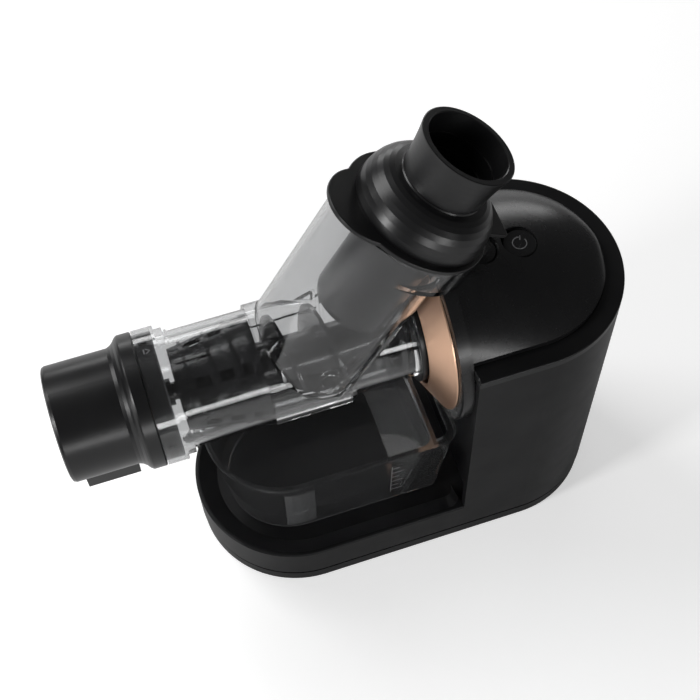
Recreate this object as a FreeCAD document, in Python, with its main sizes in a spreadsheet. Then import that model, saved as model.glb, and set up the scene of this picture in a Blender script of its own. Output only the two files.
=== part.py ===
"""Horizontal slow juicer: motor unit, clear juicing chamber, pusher, pulp cap and juice container.

Frame: +Z up, origin on the floor under the middle of the machine, -X towards the pulp cap,
+X towards the motor column, -Y is the side the container is taken out from. Millimetres.
"""
import FreeCAD, Part
import Sketcher
import math
import os

from FreeCAD import Placement, Rotation, Vector

doc = FreeCAD.newDocument("juicer")
sheet = doc.addObject("Spreadsheet::Sheet", "Sizes")

# ---------------------------------------------------------------------------
# Driving dimensions
# ---------------------------------------------------------------------------
DRIVING = {
    # base and column
    "base_half_width": 76.0, "column_centre_x": 117.0, "base_centre_x": -42.0,
    "skirt_bottom": 15.0, "deck_rim": 47.0, "tray_floor": 39.0, "deck_underside": 34.0,
    "shell_wall": 3.0, "column_front": 67.4, "front_wall_x": 76.0, "cheek_half_width": 70.6,
    "shell_top": 226.0, "rim_top": 232.0, "rim_band": 13.1, "tray_end": 66.0,
    "tray_rim_half_width": 73.0, "tray_floor_half_width": 60.0,
    # nose, dome and copper cone
    "axis_height": 202.0, "nose_front": 59.0, "nose_radius": 72.2, "dome_half_width": 62.6,
    "dome_edge": 236.5, "dome_front_top": 273.9, "dome_slope": 0.2, "cover_wall": 2.5,
    "cone_large_radius": 64.3, "cone_small_radius": 44.9, "cone_front": 46.4,
    "cone_bore_radius": 60.0,
    # buttons
    "power_x": 122.0, "reverse_x": 94.0, "button_radius": 11.2, "button_well_radius": 12.6,
    "button_clearance": 0.3, "button_sink": 2.2, "button_travel": 1.5, "button_height": 10.0,
    "board_top": 243.6,
    # chamber
    "tube_radius": 39.2, "tube_wall": 2.6, "tube_left": -112.0, "saddle_left": -57.5,
    "saddle_right": -6.0, "saddle_radius": 42.0, "drive_tube_radius": 36.0, "drive_tube_end": 44.0,
    "collar_radius": 45.2, "collar_left": -131.5, "collar_right": -117.3, "collar_bore": 42.7,
    "sump_half_width": 15.0, "sump_bottom": 155.0, "sump_wall": 2.4, "outlet_x": -8.0,
    "outlet_radius": 9.0, "outlet_bottom": 149.0,
    # feed hopper and pusher, measured along the tilted feed axis
    "feed_x": -17.4, "feed_tilt": 30.0, "hopper_radius": 42.0, "hopper_offset": -10.5,
    "hopper_wall": 2.5, "hopper_top": 116.0, "feed_collar_radius": 46.0, "feed_collar_top": 137.0,
    "flange_radius": 47.5, "flange_offset": -2.5, "flange_lobe_radius": 29.5,
    "flange_lobe_offset": -33.5, "flange_thickness": 3.0, "flange_tab_reach": 61.0,
    "flange_tab_half_width": 14.5, "collar_ear_reach": 47.5, "collar_ear_half_width": 20.3, "shoulder_radius": 43.5, "neck_radius": 26.6, "neck_height": 165.4,
    "grip_rim_radius": 30.3, "grip_top": 196.0, "shaft_radius": 27.0, "shaft_wall": 2.4,
    "shaft_bottom": 51.0,
    # pulp cap
    "cap_end": -193.0, "cap_radius": 38.9, "cap_flare_left": -149.5, "cap_collar_left": -142.5,
    "cap_collar_right": -132.0, "cap_wall": 2.5, "neck_right": -120.4, "neck_outer": 42.2,
    "neck_inner": 39.6, "spout_left": -187.0, "spout_right": -151.0, "spout_half_width": 20.0,
    "spout_bottom": 145.0,
    # auger and strainer
    "auger_left": -113.0, "auger_plate_x": 36.0, "flight_radius": 32.6, "flight_small_radius": 24.4,
    "flight_pitch": 28.0, "flight_thickness": 4.0, "flight_taper_length": 50.0,
    "strainer_left": -112.5, "strainer_right": -58.0,
    "strainer_small_radius": 27.6, "strainer_large_radius": 36.3, "strainer_wall": 1.6,
    # container
    "bin_foot": 39.3, "bin_top": 120.0, "bin_foot_half_width": 49.0, "bin_rim_half_width": 55.0,
    "bin_foot_left": -95.0, "bin_rim_left": -103.0, "bin_foot_right": 58.0, "bin_rim_right": 68.0,
    "bin_wall": 2.4, "bin_floor": 3.6, "bin_back_foot": 28.0, "bin_back_rim": 49.0,
    # gear train: module, pinion teeth and wheel teeth of each stage
    "stage_a_module": 1.0, "stage_a_pinion": 12.0, "stage_a_wheel": 44.0,
    "stage_b_module": 1.25, "stage_b_pinion": 12.0, "stage_b_wheel": 44.0,
    "stage_c_module": 1.25, "stage_c_pinion": 13.0, "stage_c_wheel": 52.0,
    "stage_c_x": 84.0, "stage_b_x": 96.0, "stage_a_x": 106.0, "stage_c_face": 10.0,
    "stage_b_face": 8.0, "stage_a_face": 6.0, "gearbox_front": 80.0, "gearbox_rear": 114.0,
    "gearbox_wall": 2.5, "gearbox_half_width": 33.0, "gearbox_head_radius": 38.0,
    # motor
    "motor_front": 117.0, "motor_rear": 172.0, "motor_radius": 33.0, "motor_can_wall": 2.0,
    "rotor_radius": 17.0, "rotor_gap": 0.5, "motor_shaft_radius": 3.5,
    # base plate, feet, cord inlet
    "plate_bottom": 1.5, "plate_top": 11.5, "plate_half_width": 75.4, "foot_radius": 9.0,
    "foot_height": 3.0, "inlet_height": 27.0, "inlet_bore": 3.6, "inlet_collar": 8.0,
}
for row, (alias, value) in enumerate(DRIVING.items(), start=1):
    sheet.set(f"A{row}", alias)
    sheet.set(f"B{row}", str(value))
    sheet.setAlias(f"B{row}", alias)
doc.recompute()


class Dim:
    """A length that carries its value and the sheet expression that it comes from."""

    def __init__(self, value, text):
        self.value = value
        self.text = text

    def __add__(self, other):
        other = dim(other)
        return Dim(self.value + other.value, f"({self.text} + {other.text})")

    def __sub__(self, other):
        other = dim(other)
        return Dim(self.value - other.value, f"({self.text} - {other.text})")

    def __mul__(self, other):
        other = dim(other)
        return Dim(self.value * other.value, f"({self.text} * {other.text})")

    def __neg__(self):
        return Dim(-self.value, f"(0 - {self.text})")

    __radd__ = __add__
    __rmul__ = __mul__

    def __rsub__(self, other):
        return dim(other) - self


def dim(value):
    """A sheet dimension by its alias, or a plain number as a constant."""
    if isinstance(value, Dim):
        return value
    if isinstance(value, str):
        return Dim(float(sheet.get(value)), f"Sizes.{value}")
    return Dim(float(value), f"{float(value):.6f}")


def num(value):
    return dim(value).value


def bind(obj, prop, value):
    """Set a property and tie it to the sheet."""
    value = dim(value)
    if not prop.startswith("Placement") and not prop.startswith("Constraints"):
        setattr(obj, prop, value.value)
    obj.setExpression(prop, value.text)


def bind_base(obj, x, y, z):
    obj.Placement = Placement(Vector(num(x), num(y), num(z)), obj.Placement.Rotation)
    for letter, value in zip("xyz", (x, y, z)):
        bind(obj, f"Placement.Base.{letter}", value)


# ---------------------------------------------------------------------------
# Building blocks
# ---------------------------------------------------------------------------
TURN_TO = {
    "X": Rotation(Vector(0, 1, 0), 90),
    "Y": Rotation(Vector(1, 0, 0), -90),
    "Z": Rotation(),
}


def box(name, x_span, y_span, z_span):
    obj = doc.addObject("Part::Box", name)
    for prop, span in (("Length", x_span), ("Width", y_span), ("Height", z_span)):
        bind(obj, prop, dim(span[1]) - dim(span[0]))
    bind_base(obj, x_span[0], y_span[0], z_span[0])
    return obj


def rod(name, axis, start, radius, length):
    """A cylinder along a row axis: start is the centre of its low end."""
    obj = doc.addObject("Part::Cylinder", name)
    bind(obj, "Radius", radius)
    bind(obj, "Height", length)
    obj.Placement.Rotation = TURN_TO[axis]
    bind_base(obj, *start)
    return obj


def axial(name, x_span, radius, height="axis_height"):
    """A cylinder along X between two stations, on the chamber axis unless told otherwise."""
    return rod(name, "X", (x_span[0], 0, height), radius, dim(x_span[1]) - dim(x_span[0]))


def joined(name, pieces):
    obj = doc.addObject("Part::MultiFuse", name)
    obj.Shapes = pieces
    obj.Refine = True
    return obj


def shared(name, first, second):
    obj = doc.addObject("Part::MultiCommon", name)
    obj.Shapes = [first, second]
    return obj


def without(name, base, tools):
    """The base less every tool."""
    obj = doc.addObject("Part::Cut", name)
    obj.Base = base
    obj.Tool = tools[0] if len(tools) == 1 else joined(name + "_tools", tools)
    obj.Refine = True
    return obj


def stadium(name, half_width, z_span):
    """The outline of the base: a straight run with a half round at each end."""
    length = dim(z_span[1]) - dim(z_span[0])
    middle = box(name + "_mid", ("base_centre_x", "column_centre_x"),
                 (-dim(half_width), half_width), z_span)
    ends = [rod(name + tag, "Z", (centre, 0, z_span[0]), half_width, length)
            for tag, centre in (("_front", "base_centre_x"), ("_back", "column_centre_x"))]
    return joined(name, [middle] + ends)


def column(name, front, half_width, z_span):
    """The outline of the column: square at the front, half round at the back."""
    middle = box(name + "_mid", (front, "column_centre_x"), (-dim(half_width), half_width), z_span)
    back = rod(name + "_back", "Z", ("column_centre_x", 0, z_span[0]), half_width,
               dim(z_span[1]) - dim(z_span[0]))
    back.Angle = 180
    back.Placement.Rotation = Rotation(Vector(0, 0, 1), -90)
    return joined(name, [middle, back])


def shape_part(name, shape, placement=None):
    """A feature whose shape is worked out here from the sheet."""
    obj = doc.addObject("Part::Feature", name)
    obj.Shape = shape
    if placement is not None:
        obj.Placement = placement
    return obj


def origin_plane(body, role):
    return next(item for item in body.Origin.OriginFeatures if item.Role == role)


def turned(name, outline, axis="X"):
    """A PartDesign revolution. The outline lists (station, radius) corners, bound to the sheet.

    axis X turns about the chamber axis; axis Z turns about the body's own vertical.
    """
    body = doc.addObject("PartDesign::Body", name)
    sketch = body.newObject("Sketcher::SketchObject", name + "_profile")
    sketch.AttachmentSupport = [(origin_plane(body, "XZ_Plane"), "")]
    sketch.MapMode = "FlatFace"
    corners = [(dim(a), dim(b)) for a, b in outline]
    if axis == "Z":
        corners = [(radius, station) for station, radius in corners]
    points = [Vector(a.value, b.value, 0) for a, b in corners]
    for i, start in enumerate(points):
        sketch.addGeometry(Part.LineSegment(start, points[(i + 1) % len(points)]), False)
    for i in range(len(points)):
        sketch.addConstraint(Sketcher.Constraint("Coincident", i, 2, (i + 1) % len(points), 1))
    for i, (a, b) in enumerate(corners):
        for kind, value in (("DistanceX", a), ("DistanceY", b)):
            if abs(value.value) < 1e-9:
                line = -2 if kind == "DistanceX" else -1
                sketch.addConstraint(Sketcher.Constraint("PointOnObject", i, 1, line))
                continue
            index = sketch.addConstraint(Sketcher.Constraint(kind, -1, 1, i, 1, value.value))
            sketch.setExpression(f"Constraints[{index}]", value.text)
    revolution = body.newObject("PartDesign::Revolution", name + "_turn")
    revolution.Profile = sketch
    revolution.ReferenceAxis = (sketch, ["H_Axis" if axis == "X" else "V_Axis"])
    revolution.Angle = 360
    if axis == "X":
        bind_base(body, 0, 0, "axis_height")
    return body


def labelled(obj, label):
    obj.Label = label
    PIECES.append(obj)
    return obj


PIECES = []

# The feed axis leans from the chamber towards the motor column.
TILT = math.radians(num("feed_tilt"))
FEED_ROTATION = Rotation(Vector(0, 1, 0), num("feed_tilt"))


def feed_point(along, offset=0.0, side=0.0):
    """A point at a height along the feed axis and an offset across it."""
    return Vector(num("feed_x") + along * math.sin(TILT) + offset * math.cos(TILT), side,
                  num("axis_height") + along * math.cos(TILT) - offset * math.sin(TILT))


def feed_rod(name, low, high, radius, offset=0.0):
    obj = doc.addObject("Part::Cylinder", name)
    bind(obj, "Radius", radius)
    bind(obj, "Height", dim(high) - dim(low))
    obj.Placement = Placement(feed_point(num(low), num(offset)), FEED_ROTATION)
    return obj


# ---------------------------------------------------------------------------
# Motor unit: housing, covers and trim
# ---------------------------------------------------------------------------
def bin_outline(height, left, right, half_width, corner):
    """A closed outline, half round to the left and with two rounded corners to the right."""
    centre_x = left + half_width
    arc_in = Vector(centre_x, half_width, height)
    arc_mid = Vector(left, 0, height)
    arc_out = Vector(centre_x, -half_width, height)
    low_start = Vector(right - corner, -half_width, height)
    low_end = Vector(right, corner - half_width, height)
    high_start = Vector(right, half_width - corner, height)
    high_end = Vector(right - corner, half_width, height)
    bend = corner * (1 - math.sqrt(0.5))
    low_mid = Vector(right - bend, bend - half_width, height)
    high_mid = Vector(right - bend, half_width - bend, height)
    return Part.Wire([
        Part.Arc(arc_in, arc_mid, arc_out).toShape(),
        Part.LineSegment(arc_out, low_start).toShape(),
        Part.Arc(low_start, low_mid, low_end).toShape(),
        Part.LineSegment(low_end, high_start).toShape(),
        Part.Arc(high_start, high_mid, high_end).toShape(),
        Part.LineSegment(high_end, arc_in).toShape(),
    ])


def drafted(low, high):
    """A solid between two outlines, each (height, left, right, half width, corner)."""
    return Part.makeLoft([bin_outline(*low), bin_outline(*high)], True, True)


DIRECTIONS = {"X": Vector(1, 0, 0), "Z": Vector(0, 0, 1), "-X": Vector(-1, 0, 0),
              "-Z": Vector(0, 0, -1)}


def screw_set(label, spots, axis, head_radius, head_height, shank_radius, shank_length):
    """Pan-head screws as one node. Each spot is the head's seat; the shank runs along the axis."""
    direction = DIRECTIONS[axis]
    solids = []
    for spot in spots:
        head = Part.makeCylinder(head_radius, head_height, spot - direction * head_height, direction)
        shank = Part.makeCylinder(shank_radius, shank_length, spot, direction)
        slot = Part.makeCylinder(head_radius * 0.45, head_height * 0.5,
                                 spot - direction * head_height, direction)
        solids.append(head.fuse(shank).removeSplitter().cut(slot))
    return labelled(shape_part(label, Part.makeCompound(solids)), label)


def shank_holes(name, spots, axis, shank_radius, shank_length):
    direction = DIRECTIONS[axis]
    solids = [Part.makeCylinder(shank_radius, shank_length, spot, direction) for spot in spots]
    return shape_part(name, Part.makeCompound(solids))


BASE_SCREW_SPOTS = [Vector(x, y, 4.5) for x in (-72.0, 20.0, 150.0) for y in (-50.0, 50.0)]
GEARBOX_SCREW_SPOTS = [Vector(84.5, y, z) for y in (-39.0, 39.0) for z in (100.0, 150.0)]
SCREW_SHANK = 2.0
BASE_SCREW_LENGTH = 20.0
GEARBOX_SCREW_LENGTH = 7.0
BOARD_SHANK = 1.25
BOARD_SCREW_LENGTH = 7.0


def build_main_housing():
    outer = joined("housing_outer", [
        stadium("housing_base", "base_half_width", ("skirt_bottom", "deck_rim")),
        column("housing_column", "column_front", "base_half_width", ("skirt_bottom", "shell_top"))])
    inner_half = dim("base_half_width") - "shell_wall"
    hollow_base = stadium("housing_hollow_base", inner_half, (10, "deck_underside"))
    hollow_column = column("housing_hollow_column", dim("front_wall_x") + "shell_wall", inner_half,
                           (10, dim("shell_top") + 5))
    recess = box("housing_recess", ("tray_end", "front_wall_x"),
                 (-dim("cheek_half_width"), "cheek_half_width"),
                 ("tray_floor", dim("shell_top") + 5))
    dish = shape_part("housing_dish", drafted(
        (num("tray_floor"), num("base_centre_x") - num("tray_floor_half_width"),
         num("tray_end"), num("tray_floor_half_width"), 8.0),
        (num("deck_rim") + 0.001, num("base_centre_x") - num("tray_rim_half_width"),
         num("tray_end") + 1.0, num("tray_rim_half_width"), 10.0)))
    drive_hole = axial("housing_drive_hole", (dim("front_wall_x") - 1, dim("front_wall_x") + 4), 50)
    inlet_hole = rod("housing_inlet_hole", "X", (186, 0, "inlet_height"), 5.0, 10)
    seat = rod("housing_inlet_seat", "X", (191.2, 0, "inlet_height"), "inlet_collar", 5)
    shell = without("housing_shell", outer,
                    [hollow_base, hollow_column, recess, dish, drive_hole, inlet_hole, seat])
    posts = [rod(f"housing_post_{i}", "Z", (spot.x, spot.y, 17.0), 5.0,
                 dim("deck_underside") - 16.5) for i, spot in enumerate(BASE_SCREW_SPOTS[:4])]
    posts += [joined(f"housing_rear_post_{i}", [
        rod(f"housing_rear_pillar_{i}", "Z", (spot.x, spot.y, 17.0), 5.0, 17.0),
        box(f"housing_rear_web_{i}", (spot.x - 1.5, spot.x + 1.5),
            (min(spot.y, 1.35 * spot.y), max(spot.y, 1.35 * spot.y)), (17.0, 34.0))])
        for i, spot in enumerate(BASE_SCREW_SPOTS[4:])]
    body = joined("housing_with_posts", [shell] + posts)
    holes = [shank_holes("housing_base_holes", BASE_SCREW_SPOTS, "Z", SCREW_SHANK, BASE_SCREW_LENGTH),
             shank_holes("housing_gearbox_holes", GEARBOX_SCREW_SPOTS, "-X", SCREW_SHANK,
                         GEARBOX_SCREW_LENGTH)]
    drilled = without("housing_drilled", body, holes)
    doc.recompute()
    housing = doc.addObject("Part::Fillet", "main_housing")
    housing.Base = drilled
    housing.Edges = [(i + 1, 1.8, 1.8) for i, edge in enumerate(drilled.Shape.Edges)
                     if is_deck_edge(edge)]
    labelled(housing, "main_housing")


def is_deck_edge(edge):
    """Edges of the deck's outer outline, ahead of the column."""
    top = num("deck_rim")
    if any(abs(vertex.Z - top) > 1e-4 for vertex in edge.Vertexes):
        return False
    middle = edge.valueAt((edge.FirstParameter + edge.LastParameter) / 2)
    if abs(middle.z - top) > 1e-4 or middle.x > num("column_front"):
        return False
    on_side = abs(abs(middle.y) - num("base_half_width")) < 1e-4
    reach = math.hypot(middle.x - num("base_centre_x"), middle.y)
    return on_side or abs(reach - num("base_half_width")) < 1e-4


def build_rim_trim():
    band = without("rim_band_ring",
                   column("rim_outer", "column_front", "base_half_width", ("shell_top", "rim_top")),
                   [column("rim_inner", dim("column_front") - 1,
                           dim("base_half_width") - "rim_band",
                           (dim("shell_top") - 1, dim("rim_top") + 1))])
    tongue = without("rim_tongue",
                     column("rim_tongue_outer", 80, 72.7, (dim("shell_top") - 5, "shell_top")),
                     [column("rim_tongue_inner", 79, 70.2,
                             (dim("shell_top") - 6, dim("shell_top") + 1))])
    blank = joined("rim_blank", [band, tongue])
    doc.recompute()
    trim = doc.addObject("Part::Fillet", "rim_trim")
    trim.Base = blank
    trim.Edges = [(i + 1, 1.4, 1.4) for i, edge in enumerate(blank.Shape.Edges)
                  if is_outer_top_edge(edge)]
    labelled(trim, "rim_trim")


def is_outer_top_edge(edge):
    """Edges of the rim's top face that lie on its outer outline."""
    top = num("rim_top")
    if any(abs(vertex.Z - top) > 1e-4 for vertex in edge.Vertexes):
        return False
    middle = edge.valueAt((edge.FirstParameter + edge.LastParameter) / 2)
    if abs(middle.z - top) > 1e-4:
        return False
    on_side = abs(abs(middle.y) - num("base_half_width")) < 1e-4
    on_back = abs(math.hypot(middle.x - num("column_centre_x"), middle.y)
                  - num("base_half_width")) < 1e-4
    on_front = abs(middle.x - num("column_front")) < 1e-4
    return on_side or on_back or on_front


def dome_ridge(x):
    """Height of the dome's ridge above its edge: a gentle slope that rounds off at the back."""
    front, back = num("nose_front"), num("column_centre_x") + num("dome_half_width")
    share = min((x - front) / (back - front), 1.0)
    rise = num("dome_front_top") - num("dome_edge") - num("dome_slope") * (x - front)
    return rise * math.sqrt(1 - share ** 6)


def dome_section(x, half_width, edge, bottom):
    """A section of the dome across the column: an arch on two upright sides."""
    left, right = Vector(x, -half_width, edge), Vector(x, half_width, edge)
    arch = Part.Arc(right, Vector(x, 0, edge + dome_ridge(x)), left).toShape()
    foot_left, foot_right = Vector(x, -half_width, bottom), Vector(x, half_width, bottom)
    return Part.Wire([Part.LineSegment(foot_left, foot_right).toShape(),
                      Part.LineSegment(foot_right, right).toShape(), arch,
                      Part.LineSegment(left, foot_left).toShape()])


def dome_solid(front, offset, bottom):
    """The dome down to its foot, shrunk all round by the offset."""
    half_width = num("dome_half_width") - offset
    edge = num("dome_edge") - offset
    centre_x = num("column_centre_x")
    straight = [(front + (centre_x - front) * k / 3, half_width) for k in range(4)]
    rounded = [(centre_x + half_width * math.sin(math.radians(a)),
                half_width * math.cos(math.radians(a))) for a in (0, 15, 29, 42, 54, 64, 72, 79, 85)]
    pieces = [Part.makeLoft([dome_section(x, w, edge, bottom) for x, w in run], True, False)
              for run in (straight, rounded)]
    return pieces[0].fuse(pieces[1]).removeSplitter()


def build_top_cover():
    skirt_bottom = num("rim_top") - 5
    nose_length = num("column_front") - num("nose_front")
    nose = Part.makeCylinder(num("nose_radius"), nose_length,
                             Vector(num("nose_front"), 0, num("axis_height")), Vector(1, 0, 0))
    above_rim = Part.makeBox(200, 200, 100, Vector(0, -100, num("rim_top")))
    under_nose = Part.makeBox(nose_length + 10, 200, 20, Vector(num("nose_front") - 10, -100,
                                                                num("rim_top") - 20))
    outer = dome_solid(num("nose_front"), 0.0, skirt_bottom).cut(under_nose)
    blank = shape_part("cover_blank", outer.fuse(nose.common(above_rim)).removeSplitter())
    hollow = shape_part("cover_hollow", dome_solid(num("nose_front") + 4, num("cover_wall"),
                                                   skirt_bottom - 1))
    cone_bore = axial("cover_cone_bore", (50, 66), dim("cone_bore_radius") + 0.3)
    hopper_relief = feed_rod("cover_hopper_relief", 40, "hopper_top",
                             dim("hopper_radius") + 1.2, "hopper_offset")
    collar_relief = feed_rod("cover_collar_relief", dim("hopper_top") - 4, 150,
                             dim("feed_collar_radius") + 1.2)
    wells = []
    for tag, x, top in (("power", "power_x", power_button_top()),
                        ("reverse", "reverse_x", reverse_button_top())):
        wells.append(rod(f"cover_{tag}_well", "Z", (x, 0, top - 0.6), "button_well_radius", 20))
        wells.append(rod(f"cover_{tag}_hole", "Z", (x, 0, 230),
                         dim("button_radius") + "button_clearance", 50))
    posts = [Part.makeCylinder(3.2, 40, Vector(spot.x, spot.y, num("board_top"))).common(outer)
             for spot in board_spots()]
    shell = without("cover_shell", blank,
                    [hollow, cone_bore, hopper_relief, collar_relief] + wells)
    with_posts = joined("cover_with_posts", [shell] + [
        shape_part(f"cover_post_{i}", post) for i, post in enumerate(posts)])
    labelled(without("top_cover", with_posts, [board_screw_holes("cover_screw_holes")]), "top_cover")


def power_button_top():
    return num("dome_edge") + dome_ridge(num("power_x")) - num("button_sink")


def reverse_button_top():
    return num("dome_edge") + dome_ridge(num("reverse_x")) - num("button_sink") - 1.5


def build_buttons():
    for label, x, top in (("power_button", "power_x", power_button_top()),
                          ("reverse_button", "reverse_x", reverse_button_top())):
        radius = num("button_radius")
        cap = turned(label + "_cap", [(top - 6, 0), (top - 6, radius), (top - 0.8, radius),
                                      (top, radius - 0.8), (top, 0)], "Z")
        stem = rod(label + "_stem", "Z", (0, 0, top - num("button_height")), 3.0, 5)
        button = joined(label, [cap, stem])
        button.Placement.Base = Vector(num(x), 0, 0)
        labelled(button, label)


def build_switch_board():
    top = num("board_top")
    board = box("board_slab", (82, 142), (-25, 25), (dim("board_top") - 1.6, "board_top"))
    holes = board_screw_holes("board_holes")
    labelled(without("control_board", board, [holes]), "control_board")
    switches = []
    for x, button_top in (("power_x", power_button_top()), ("reverse_x", reverse_button_top())):
        plunger_top = button_top - num("button_height") - num("button_travel") - 0.3
        case = Part.makeBox(12, 12, 2.4, Vector(num(x) - 6, -6, top))
        plunger = Part.makeCylinder(3.0, plunger_top - top - 2.4, Vector(num(x), 0, top + 2.4))
        switches.append(case.fuse(plunger).removeSplitter())
    labelled(shape_part("button_switches", Part.makeCompound(switches)), "button_switches")
    screw_set("board_screws", board_spots(), "Z", 2.4, 1.6, BOARD_SHANK, BOARD_SCREW_LENGTH)


def board_spots():
    seat = num("board_top") - 1.6
    return [Vector(x, y, seat) for x in (88.0, 136.0) for y in (-20.0, 20.0)]


def board_screw_holes(name):
    return shank_holes(name, board_spots(), "Z", BOARD_SHANK, BOARD_SCREW_LENGTH)


def build_front_bezel():
    nose = num("nose_radius")
    front = num("nose_front")
    ring = turned("bezel_ring", [
        (front + 1.6, dim("cone_bore_radius") + 0.3), (front, dim("cone_bore_radius") + 1.9),
        (front, nose - 2.0), (front + 0.6, nose - 0.6), (front + 2.0, nose),
        (dim("column_front") - 0.3, nose), (dim("column_front") - 0.3, 70.2),
        (dim("front_wall_x") - 0.1, 70.2), (dim("front_wall_x") - 0.1, 64.0),
        (front + 9, 64.0), (front + 9, dim("cone_bore_radius") + 0.3)])
    above = box("bezel_top_cut", (50, 80), (-80, 80), (dim("rim_top") - 0.15, 300))
    behind = box("bezel_rim_cut", (dim("column_front") - 0.35, 80), (-80, 80),
                 (dim("shell_top") - 0.2, 300))
    labelled(without("front_bezel", ring, [above, behind]), "front_bezel")
    # Drip guard behind the copper cone, round the drive opening.
    guard = turned("drip_guard", [
        (68.2, 57.6), (68.2, 63.6), (75.8, 63.6), (75.8, 22.0), (73.6, 22.0), (73.6, 57.6)])
    labelled(guard, "drip_guard")


def build_copper_cone():
    front, large, small = num("cone_front"), num("cone_large_radius"), num("cone_small_radius")
    rear = num("nose_front") - 0.4
    bore = num("cone_bore_radius")
    slope = (large - small) / (rear - front)
    lip_x, lip_radius = front + 0.9, small - 2.2
    labelled(turned("copper_cone", [
        (rear, large), (rear - 0.9, large - 0.2), (front + 0.5, small + 0.3), (front, small - 0.6),
        (front, small - 1.6), (lip_x, lip_radius),
        (lip_x + (bore - 2.2 - lip_radius) / slope, bore - 2.2), (rear + 7.5, bore - 2.2),
        (rear + 7.5, bore - 0.2), (rear, bore - 0.2)]), "copper_cone")


def build_base_plate():
    slab = joined("plate_slab", [
        stadium("plate_lower", "plate_half_width", ("plate_bottom", "plate_top")),
        stadium("plate_neck", 70.5, ("plate_top", 16.8))])
    hollow = stadium("plate_hollow", 68.0, (4.5, 20))
    pads = [rod(f"plate_foot_pocket_{i}", "Z", (x, y, 1.0), dim("foot_radius"), 1.5)
            for i, (x, y) in enumerate(foot_spots())]
    heads = shank_holes("plate_head_pockets", [Vector(spot.x, spot.y, 0) for spot in
                                               BASE_SCREW_SPOTS], "Z", 4.0, 4.5)
    shanks = shank_holes("plate_shank_holes", BASE_SCREW_SPOTS, "Z", SCREW_SHANK, BASE_SCREW_LENGTH)
    pillars = [rod(f"plate_pillar_{i}", "Z", (spot.x, spot.y, "plate_bottom"), 6.0, 15.5)
               for i, spot in enumerate(BASE_SCREW_SPOTS)]
    shell = without("plate_shell", slab, [hollow])
    slots = [box(f"plate_vent_{i}", (96 + 8 * i, 99 + 8 * i), (-30, 30), (0, 10)) for i in range(7)]
    plate = without("base_plate", joined("plate_with_pillars", [shell] + pillars),
                    pads + [heads, shanks] + slots)
    labelled(plate, "base_plate")
    screw_set("base_screws", BASE_SCREW_SPOTS, "Z", 3.9, 2.2, SCREW_SHANK, BASE_SCREW_LENGTH)
    feet = []
    for x, y in foot_spots():
        foot = Part.makeCylinder(num("foot_radius") - 0.1, 2.5, Vector(x, y, 0))
        rings = [edge for edge in foot.Edges if abs(edge.BoundBox.ZMax) < 1e-6 and edge.Closed]
        feet.append(foot.makeChamfer(0.4, rings))
    labelled(shape_part("rubber_feet", Part.makeCompound(feet)), "rubber_feet")


def foot_spots():
    return [(-78.0, -32.0), (-78.0, 32.0), (122.0, -54.0), (122.0, 54.0)]


def build_cord_inlet():
    bore = num("inlet_bore")
    inlet = turned("cord_grommet", [
        (185.0, bore), (185.0, 6.6), (188.0, 6.6), (188.0, 4.9), (191.3, 4.9),
        (191.3, dim("inlet_collar") - 0.2), (192.6, dim("inlet_collar") - 0.2),
        (192.6, bore)])
    bind_base(inlet, 0, 0, "inlet_height")
    labelled(inlet, "cord_grommet")


# ---------------------------------------------------------------------------
# Drive: motor, three spur stages, output spindle
# ---------------------------------------------------------------------------
def gear_outline(teeth, module, backlash):
    """Closed polyline of an external involute gear, one tooth centred on local +Z."""
    pitch = module * teeth / 2
    base = pitch * math.cos(math.radians(20))
    tip = pitch + module
    root = pitch - 1.2 * module
    involute_at_pitch = math.tan(math.radians(20)) - math.radians(20)
    half_pitch_angle = math.pi / (2 * teeth) - backlash / (2 * pitch)

    def half_angle(radius):
        """Half the tooth's thickness, as an angle, at a radius."""
        if radius <= base:
            return half_pitch_angle + involute_at_pitch
        pressure = math.acos(base / radius)
        return half_pitch_angle + involute_at_pitch - (math.tan(pressure) - pressure)

    radii = [max(root, base * 0.999) + (tip - max(root, base * 0.999)) * k / 3 for k in range(4)]
    flank = [(root, half_angle(root))] + [(r, half_angle(r)) for r in radii if r > root + 1e-6]
    points = []
    for tooth in range(int(teeth)):
        centre = 2 * math.pi * tooth / teeth
        rising = [(r, centre - a) for r, a in flank]
        falling = [(r, centre + a) for r, a in reversed(flank)]
        points += [Vector(0, r * math.sin(a), r * math.cos(a)) for r, a in rising + falling]
    return Part.makePolygon(points + points[:1])


def gear(teeth, module, x, face, height, turn, backlash=0.16):
    """A gear blank along X at a height, turned by an angle in degrees about X."""
    solid = Part.Face(gear_outline(teeth, module, backlash)).extrude(Vector(face, 0, 0))
    solid.rotate(Vector(0, 0, 0), Vector(1, 0, 0), turn)
    solid.translate(Vector(x, 0, height))
    return solid


def x_rod(x_start, x_end, radius, height, y=0.0):
    return Part.makeCylinder(radius, x_end - x_start, Vector(x_start, y, height), Vector(1, 0, 0))


def stage_distance(stage):
    return num(f"stage_{stage}_module") * (num(f"stage_{stage}_pinion")
                                           + num(f"stage_{stage}_wheel")) / 2


OUTPUT_Z = num("axis_height")
SECOND_Z = OUTPUT_Z - stage_distance("c")
FIRST_Z = SECOND_Z - stage_distance("b")
MOTOR_Z = FIRST_Z - stage_distance("a")


def half_step(teeth):
    return 180.0 / teeth


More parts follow.
